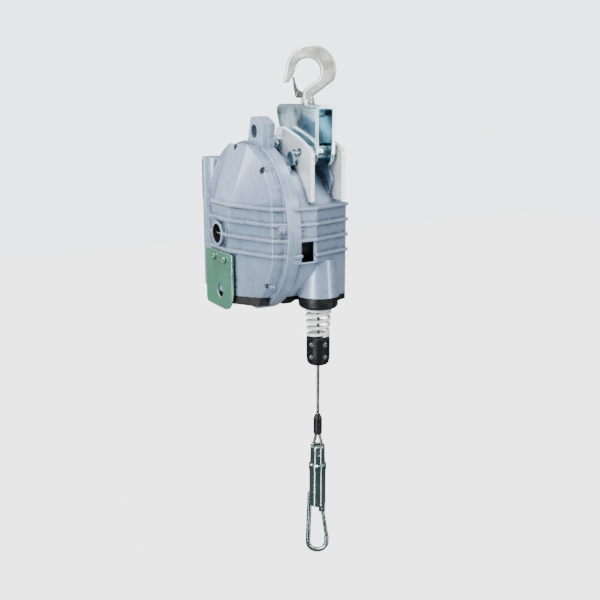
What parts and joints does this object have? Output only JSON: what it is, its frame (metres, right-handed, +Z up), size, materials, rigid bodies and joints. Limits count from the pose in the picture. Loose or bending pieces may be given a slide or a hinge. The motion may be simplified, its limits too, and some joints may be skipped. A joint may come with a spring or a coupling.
{
  "type": "tool balancer",
  "caption": "Spring tool balancer: two-part ribbed casting on a bracket and swivelling latched hook, wire rope with bump stop, rope eye, swivel and snap hook.",
  "frame": {"origin": "in the bowl of the top hook, where the balancer hangs", "axes": "+Z up along the hook's shank, +Y along the drum shaft towards the rear casting, +X across the reel towards the rope's side"},
  "size_m": [0.26, 0.162, 0.7715],
  "materials": {
    "hook_steel": "forged, satin",
    "zinc_steel": "bright zinc plated",
    "plate_steel": "bright zinc plated plate",
    "painted_casting": "light blue-grey paint",
    "dark_screw_steel": "blackened",
    "black_plastic": "moulded, satin",
    "green_zinc": "green passivated zinc",
    "sintered_bronze": "sintered bronze",
    "machined_steel": "machined",
    "spring_steel": "blued",
    "white_spring": "white coating",
    "cast_aluminium": "turned casting",
    "black_rubber": "matt",
    "rope_steel": "stranded wire",
    "bright_steel": "bright nickel plated"
  },
  "bodies": {
    "hook": {"top_hook": "hook_steel", "hook_latch_pin": "hook_steel", "hook_latch_spring": "hook_steel", "hook_nut": "hook_steel"},
    "latch": {"hook_latch": "hook_steel"},
    "bracket": {"suspension_bracket": "zinc_steel", "bracket_pin": "zinc_steel", "pin_roller": "zinc_steel", "hook_washer": "hook_steel"},
    "housing": {"rear_housing": "painted_casting", "front_cover": "painted_casting", "flange_screws": "dark_screw_steel", "front_sump": "black_plastic", "rear_sump": "black_plastic", "rope_guide": "black_plastic", "lock_plate": "green_zinc", "lock_plate_screws": "dark_screw_steel", "worm_cover_plate": "dark_screw_steel", "worm_cover_screws": "dark_screw_steel", "front_shaft_bush": "sintered_bronze", "rear_shaft_bush": "sintered_bronze", "worm_bush": "sintered_bronze", "worm_top_bearing": "machined_steel", "near_ear_plate": "plate_steel", "far_ear_plate": "plate_steel", "ear_bolts": "zinc_steel", "pin_spacers": "zinc_steel", "stop_spring": "white_spring"},
    "wheel": {"worm_wheel": "sintered_bronze", "main_shaft": "machined_steel", "spring_arbor": "machined_steel", "shaft_retaining_ring": "machined_steel", "drum_spacer": "machined_steel"},
    "worm": {"worm_screw": "machined_steel"},
    "drum": {"rope_drum": "cast_aluminium", "spring_case": "machined_steel", "spring_case_lid": "machined_steel", "power_spring": "spring_steel", "front_drum_bearing": "machined_steel", "rear_drum_bearing": "machined_steel", "rope_on_drum": "rope_steel"},
    "load": {"wire_rope": "rope_steel", "rope_stop_front": "black_rubber", "rope_stop_back": "black_rubber", "rope_stop_screws": "machined_steel", "rope_sleeve": "black_plastic", "rope_eye": "rope_steel", "thimble": "bright_steel", "eye_pin": "bright_steel", "swivel_fork": "bright_steel"},
    "swivel": {"swivel_barrel": "bright_steel", "swivel_collar": "bright_steel", "swivel_bearing": "bright_steel", "snap_hook": "bright_steel", "gate_pin": "bright_steel", "gate_spring": "bright_steel"},
    "gate": {"snap_gate": "bright_steel"}
  },
  "joints": [
    {"name": "hook_latch", "type": "hinge", "parent": "hook", "child": "latch", "pos_m": [-0.0063, -0.01137, -0.05], "axis": [-0.8746, 0.4848, 0], "range_deg": [0, 35], "stiffness_Nm_per_rad": 0.02, "springref_deg": -28.65},
    {"name": "hook_swivel", "type": "hinge", "parent": "hook", "child": "bracket", "pos_m": [0, 0, 0], "axis": [0, 0, 1], "continuous": true},
    {"name": "bracket_tilt", "type": "hinge", "parent": "bracket", "child": "housing", "pos_m": [0.027, 0, -0.129], "axis": [0, 1, 0], "range_deg": [-10, 10]},
    {"name": "drum_turn", "type": "hinge", "parent": "housing", "child": "drum", "pos_m": [-0.055, -0.059, -0.249], "axis": [0, 1, 0], "range_deg": [0, 1302], "stiffness_Nm_per_rad": 0.1, "springref_deg": -1489.69},
    {"name": "rope_payout", "type": "slide", "parent": "housing", "child": "load", "axis": [0, 0, -1], "range_m": [0, 2], "deforming": ["wire_rope"]},
    {"name": "spring_adjust", "type": "hinge", "parent": "housing", "child": "wheel", "pos_m": [-0.055, -0.059, -0.249], "axis": [0, 1, 0], "range_deg": [-180, 180]},
    {"name": "worm_turn", "type": "hinge", "parent": "housing", "child": "worm", "pos_m": [-0.164, -0.073, -0.249], "axis": [0, 0, 1], "range_deg": [-10800, 10800]},
    {"name": "load_swivel", "type": "hinge", "parent": "load", "child": "swivel", "pos_m": [0.033, 0, -0.612], "axis": [0, 0, 1], "continuous": true},
    {"name": "snap_gate", "type": "hinge", "parent": "swivel", "child": "gate", "pos_m": [0.03639, 0.00612, -0.6765], "axis": [-0.8746, 0.4848, 0], "range_deg": [0, 25], "stiffness_Nm_per_rad": 0.02, "springref_deg": -28.65}
  ],
  "couplings": [
    {"joint": "rope_payout", "follows": "drum_turn", "m_per_rad": 0.088},
    {"joint": "worm_turn", "follows": "spring_adjust", "ratio": -60}
  ]
}
